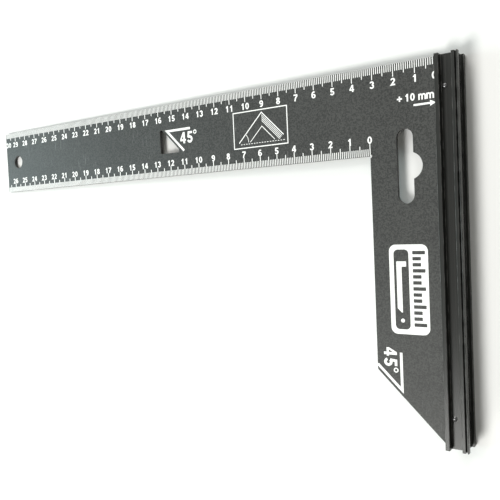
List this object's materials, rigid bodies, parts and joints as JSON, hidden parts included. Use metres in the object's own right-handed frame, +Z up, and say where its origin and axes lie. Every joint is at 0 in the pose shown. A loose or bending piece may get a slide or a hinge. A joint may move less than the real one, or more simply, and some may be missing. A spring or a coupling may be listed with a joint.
{
  "type": "try and mitre square",
  "caption": "L-shaped carpenter's square: flat graduated blade and stock plate with a 45 degree mitred end, held in a slotted, riveted fence.",
  "frame": {"origin": "centre of the bounding box's bottom face, with the tool lying flat, graduated face up", "axes": "+X from the blade's tip to the fence, along the blade; +Y along the fence from its mitre end to the blade's outer edge; +Z up out of the graduated face"},
  "size_m": [0.31, 0.171, 0.012],
  "materials": {
    "plate": "matt dark grey anodised, with white marking",
    "fence": "satin dark grey anodised extrusion",
    "rivet": "satin dark grey",
    "print": "matt white marking on the plate"
  },
  "bodies": {
    "root": {"blade_and_stock_plate": "plate", "fence_profile": "fence", "rivet_upper": "rivet", "rivet_lower": "rivet"}
  },
  "joints": []
}
